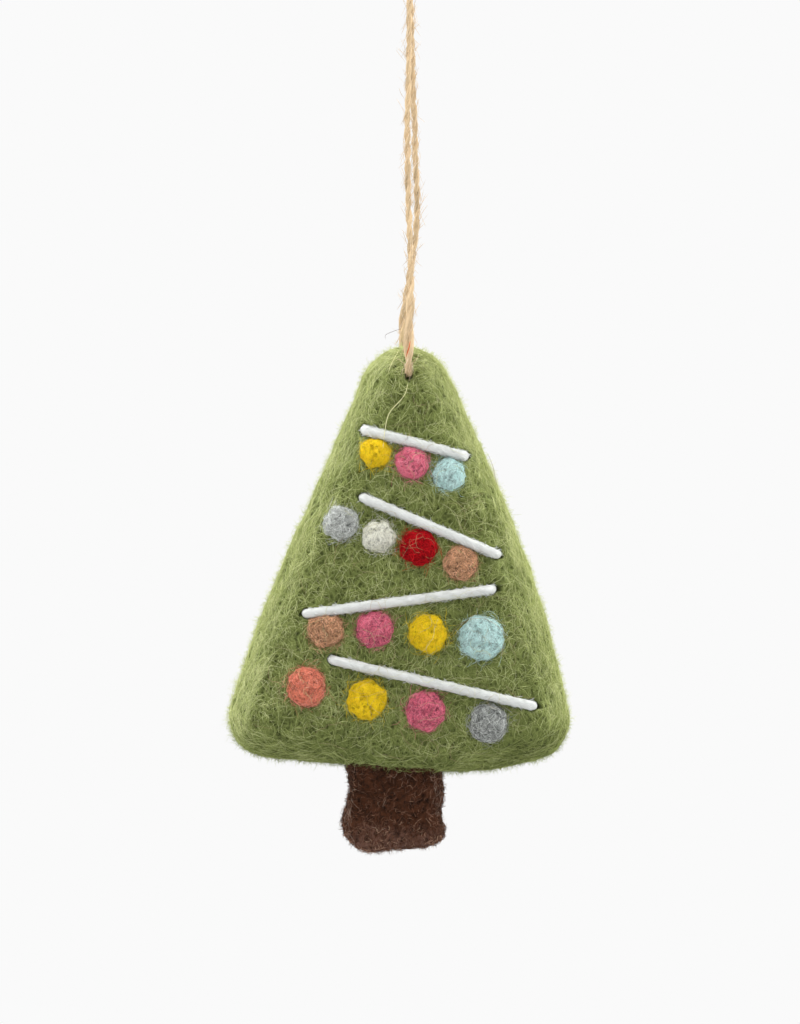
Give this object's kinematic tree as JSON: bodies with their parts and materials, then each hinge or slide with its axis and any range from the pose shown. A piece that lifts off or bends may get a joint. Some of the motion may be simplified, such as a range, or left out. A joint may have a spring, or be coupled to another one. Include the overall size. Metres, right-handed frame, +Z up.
{
  "type": "felt tree ornament",
  "caption": "Needle-felted wool tree with yarn garlands, wool baubles and a felt trunk, hanging on a knotted loop of jute twine.",
  "frame": {"origin": "the hanging point, between the two strands of twine just below their knot", "axes": "+Z up along the hanging twine, +X to the viewer's right, and the decorated front faces -Y"},
  "size_m": [0.0677, 0.0225, 0.1818],
  "materials": {
    "jute_twine": "twisted natural jute with loose fibres",
    "natural_batting": "undyed carded wool",
    "green_wool": "needle-felted olive green wool with a fuzzy surface",
    "brown_felt": "dense dark brown wool felt",
    "white_yarn": "soft white plied yarn",
    "yellow_wool": "felted yellow wool",
    "pink_wool": "felted rose pink wool",
    "aqua_wool": "felted pale aqua wool",
    "grey_wool": "felted mottled grey wool",
    "cream_wool": "felted cream wool",
    "red_wool": "felted deep red wool",
    "tan_wool": "felted tan wool",
    "coral_wool": "felted coral wool"
  },
  "bodies": {
    "knot": {"twine_knot": "jute_twine"},
    "strands": {"twine_front_strand": "jute_twine", "twine_back_strand": "jute_twine", "twine_eyelet_run": "jute_twine"},
    "tree": {"wool_core": "natural_batting", "green_coat": "green_wool", "trunk_front_pad": "brown_felt", "trunk_back_pad": "brown_felt", "garland_top": "white_yarn", "garland_upper": "white_yarn", "garland_lower": "white_yarn", "garland_bottom": "white_yarn", "bauble_row1_yellow": "yellow_wool", "bauble_row1_pink": "pink_wool", "bauble_row1_aqua": "aqua_wool", "bauble_row2_grey": "grey_wool", "bauble_row2_cream": "cream_wool", "bauble_row2_red": "red_wool", "bauble_row2_tan": "tan_wool", "bauble_row3_tan": "tan_wool", "bauble_row3_pink": "pink_wool", "bauble_row3_yellow": "yellow_wool", "bauble_row3_aqua": "aqua_wool", "bauble_row4_coral": "coral_wool", "bauble_row4_yellow": "yellow_wool", "bauble_row4_pink": "pink_wool", "bauble_row4_grey": "grey_wool"}
  },
  "joints": [
    {"name": "tree_turn", "type": "hinge", "parent": "knot", "child": "strands", "pos_m": [0, 0, 0], "axis": [0, 0, 1], "range_deg": [-180, 180], "stiffness_Nm_per_rad": 0.00003},
    {"name": "tree_swing", "type": "hinge", "parent": "strands", "child": "tree", "pos_m": [-0.0003, 0, -0.0756], "axis": [0, 1, 0], "range_deg": [-60, 60]}
  ]
}
